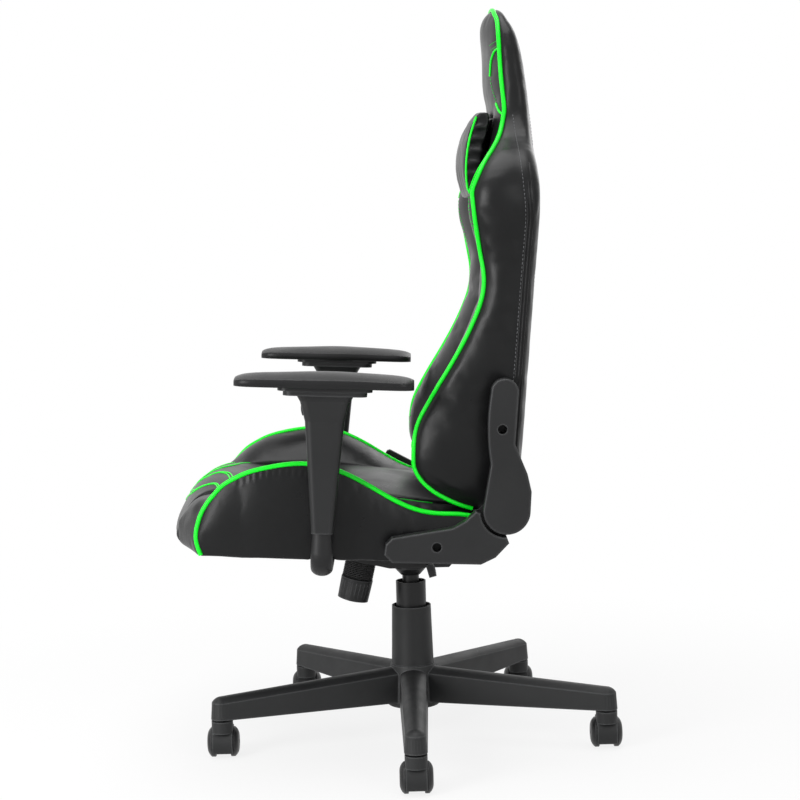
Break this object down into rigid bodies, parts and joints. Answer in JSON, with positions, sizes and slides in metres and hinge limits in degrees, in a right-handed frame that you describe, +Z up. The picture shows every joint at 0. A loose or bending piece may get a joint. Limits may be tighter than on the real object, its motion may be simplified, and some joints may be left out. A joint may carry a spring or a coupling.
{
  "type": "gaming chair",
  "caption": "Swivel gaming chair with a winged high back, neck pillow, bolstered seat, reclining hinge, height-adjustable arms, gas column and caster base.",
  "frame": {"origin": "on the floor, under the axis of the gas column", "axes": "+Z up; the sitter faces -Y; the sitter's left hand is on +X; one leg of the base lies along +X"},
  "size_m": [0.6918, 0.7222, 1.2061],
  "materials": {
    "nylon": "satin",
    "wheel_nylon": "satin",
    "moulded_black": "matte",
    "black_steel": "satin",
    "bright_steel": "satin",
    "boot_rubber": "matte",
    "pad_foam": "matte",
    "webbing": "matte",
    "black_leather": "satin"
  },
  "bodies": {
    "base": {"star_base": "nylon", "stand_tube": "black_steel", "guide_bush": "moulded_black", "thrust_bearing": "bright_steel", "column_cover": "nylon"},
    "caster_1": {"caster_hood_1": "nylon"},
    "wheels_1": {"caster_wheels_1": "wheel_nylon"},
    "caster_2": {"caster_hood_2": "nylon"},
    "wheels_2": {"caster_wheels_2": "wheel_nylon"},
    "caster_3": {"caster_hood_3": "nylon"},
    "wheels_3": {"caster_wheels_3": "wheel_nylon"},
    "caster_4": {"caster_hood_4": "nylon"},
    "wheels_4": {"caster_wheels_4": "wheel_nylon"},
    "caster_5": {"caster_hood_5": "nylon"},
    "wheels_5": {"caster_wheels_5": "wheel_nylon"},
    "swivel": {"piston_rod": "bright_steel"},
    "mechanism": {"gas_spindle": "black_steel", "tilt_housing": "black_steel", "tilt_pin": "bright_steel", "tension_spring": "bright_steel", "tension_boot": "boot_rubber"},
    "valve": {"valve_pin": "bright_steel"},
    "height_lever": {"height_lever": "moulded_black"},
    "tilt_lever": {"tilt_lever": "moulded_black"},
    "seat": {"tilt_plate": "black_steel", "tension_bolt": "bright_steel", "seat_frame": "black_steel", "seat_belts": "webbing", "seat_bolts": "bright_steel", "seat_cushion": "black_leather", "seat_bolster_left": "black_leather", "seat_bolster_right": "black_leather", "arm_bracket_left": "black_steel", "arm_bracket_right": "black_steel", "recliner_lower_left": "black_steel", "recliner_lower_right": "black_steel", "seat_cover_left": "moulded_black", "seat_cover_right": "moulded_black"},
    "knob": {"tension_knob": "moulded_black"},
    "recline_lever": {"recline_lever": "moulded_black"},
    "back": {"back_shell": "black_leather", "back_frame": "black_steel", "back_cushion": "black_leather", "head_cushion": "black_leather", "back_bolts": "bright_steel", "back_bolster_left": "black_leather", "back_bolster_right": "black_leather", "recliner_upper_left": "black_steel", "recliner_upper_right": "black_steel", "back_cover_left": "moulded_black", "back_cover_right": "moulded_black"},
    "pillow": {"head_pillow": "black_leather"},
    "arm_left": {"arm_post_left": "moulded_black"},
    "button_left": {"arm_button_left": "moulded_black"},
    "pad_left": {"pad_plate_left": "black_steel", "arm_pad_left": "pad_foam"},
    "arm_right": {"arm_post_right": "moulded_black"},
    "button_right": {"arm_button_right": "moulded_black"},
    "pad_right": {"pad_plate_right": "black_steel", "arm_pad_right": "pad_foam"}
  },
  "joints": [
    {"name": "caster_swivel_1", "type": "hinge", "parent": "base", "child": "caster_1", "pos_m": [0.33, 0, 0.06], "axis": [0, 0, 1], "continuous": true},
    {"name": "wheel_spin_1", "type": "hinge", "parent": "caster_1", "child": "wheels_1", "pos_m": [0.318, 0, 0.0245], "axis": [0, 1, 0], "continuous": true},
    {"name": "caster_swivel_2", "type": "hinge", "parent": "base", "child": "caster_2", "pos_m": [0.10198, 0.31385, 0.06], "axis": [0, 0, 1], "continuous": true},
    {"name": "wheel_spin_2", "type": "hinge", "parent": "caster_2", "child": "wheels_2", "pos_m": [0.08998, 0.31385, 0.0245], "axis": [0, 1, 0], "continuous": true},
    {"name": "caster_swivel_3", "type": "hinge", "parent": "base", "child": "caster_3", "pos_m": [-0.26698, 0.19397, 0.06], "axis": [0, 0, 1], "continuous": true},
    {"name": "wheel_spin_3", "type": "hinge", "parent": "caster_3", "child": "wheels_3", "pos_m": [-0.27898, 0.19397, 0.0245], "axis": [0, 1, 0], "continuous": true},
    {"name": "caster_swivel_4", "type": "hinge", "parent": "base", "child": "caster_4", "pos_m": [-0.26698, -0.19397, 0.06], "axis": [0, 0, 1], "continuous": true},
    {"name": "wheel_spin_4", "type": "hinge", "parent": "caster_4", "child": "wheels_4", "pos_m": [-0.27898, -0.19397, 0.0245], "axis": [0, 1, 0], "continuous": true},
    {"name": "caster_swivel_5", "type": "hinge", "parent": "base", "child": "caster_5", "pos_m": [0.10198, -0.31385, 0.06], "axis": [0, 0, 1], "continuous": true},
    {"name": "wheel_spin_5", "type": "hinge", "parent": "caster_5", "child": "wheels_5", "pos_m": [0.08998, -0.31385, 0.0245], "axis": [0, 1, 0], "continuous": true},
    {"name": "seat_swivel", "type": "hinge", "parent": "base", "child": "swivel", "pos_m": [0, 0, 0.07], "axis": [0, 0, 1], "continuous": true},
    {"name": "height", "type": "slide", "parent": "swivel", "child": "mechanism", "axis": [0, 0, 1], "range_m": [0, 0.08]},
    {"name": "height_lever_lift", "type": "hinge", "parent": "mechanism", "child": "height_lever", "pos_m": [-0.06825, 0, 0.3234], "axis": [0, 1, 0], "range_deg": [0, 4], "stiffness_Nm_per_rad": 6, "springref_deg": -5.73},
    {"name": "valve_press", "type": "slide", "parent": "mechanism", "child": "valve", "axis": [0, 0, 1], "range_m": [-0.0055, 0.0005]},
    {"name": "tilt_lock", "type": "hinge", "parent": "mechanism", "child": "tilt_lever", "pos_m": [0.1, 0.031, 0.3155], "axis": [1, 0, 0], "range_deg": [0, 30]},
    {"name": "seat_tilt", "type": "hinge", "parent": "mechanism", "child": "seat", "pos_m": [0, -0.042, 0.318], "axis": [-1, 0, 0], "range_deg": [0, 10], "stiffness_Nm_per_rad": 220, "springref_deg": -14.32, "deforming": ["tension_spring", "tension_boot"]},
    {"name": "tension_turn", "type": "hinge", "parent": "seat", "child": "knob", "pos_m": [0, -0.0892, 0.2745], "axis": [0, 0.2334, 0.9724], "continuous": true},
    {"name": "recline", "type": "hinge", "parent": "seat", "child": "back", "pos_m": [0, 0.14777, 0.42321], "axis": [-1, 0, 0], "range_deg": [0, 65]},
    {"name": "recline_release", "type": "hinge", "parent": "seat", "child": "recline_lever", "pos_m": [-0.274, 0.09333, 0.378], "axis": [-1, 0, 0], "range_deg": [0, 25], "stiffness_Nm_per_rad": 1.2, "springref_deg": -11.46},
    {"name": "pillow_shift", "type": "slide", "parent": "back", "child": "pillow", "axis": [0, -0.0568, 0.9984], "range_m": [-0.02, 0.02]},
    {"name": "arm_height_left", "type": "slide", "parent": "seat", "child": "arm_left", "axis": [0, 0.0523, 0.9986], "range_m": [0, 0.07]},
    {"name": "arm_button_press_left", "type": "slide", "parent": "arm_left", "child": "button_left", "axis": [0, 0.9986, -0.0523], "range_m": [0, 0.0028], "stiffness_N_per_m": 300, "springref_m": -0.002},
    {"name": "pad_slide_left", "type": "slide", "parent": "arm_left", "child": "pad_left", "axis": [0, 0.9986, -0.0523], "range_m": [-0.025, 0.025]},
    {"name": "arm_height_right", "type": "slide", "parent": "seat", "child": "arm_right", "axis": [0, 0.0523, 0.9986], "range_m": [0, 0.07]},
    {"name": "arm_button_press_right", "type": "slide", "parent": "arm_right", "child": "button_right", "axis": [0, 0.9986, -0.0523], "range_m": [0, 0.0028], "stiffness_N_per_m": 300, "springref_m": -0.002},
    {"name": "pad_slide_right", "type": "slide", "parent": "arm_right", "child": "pad_right", "axis": [0, 0.9986, -0.0523], "range_m": [-0.025, 0.025]}
  ],
  "couplings": [
    {"joint": "valve_press", "follows": "height_lever_lift", "m_per_rad": -0.0745}
  ]
}
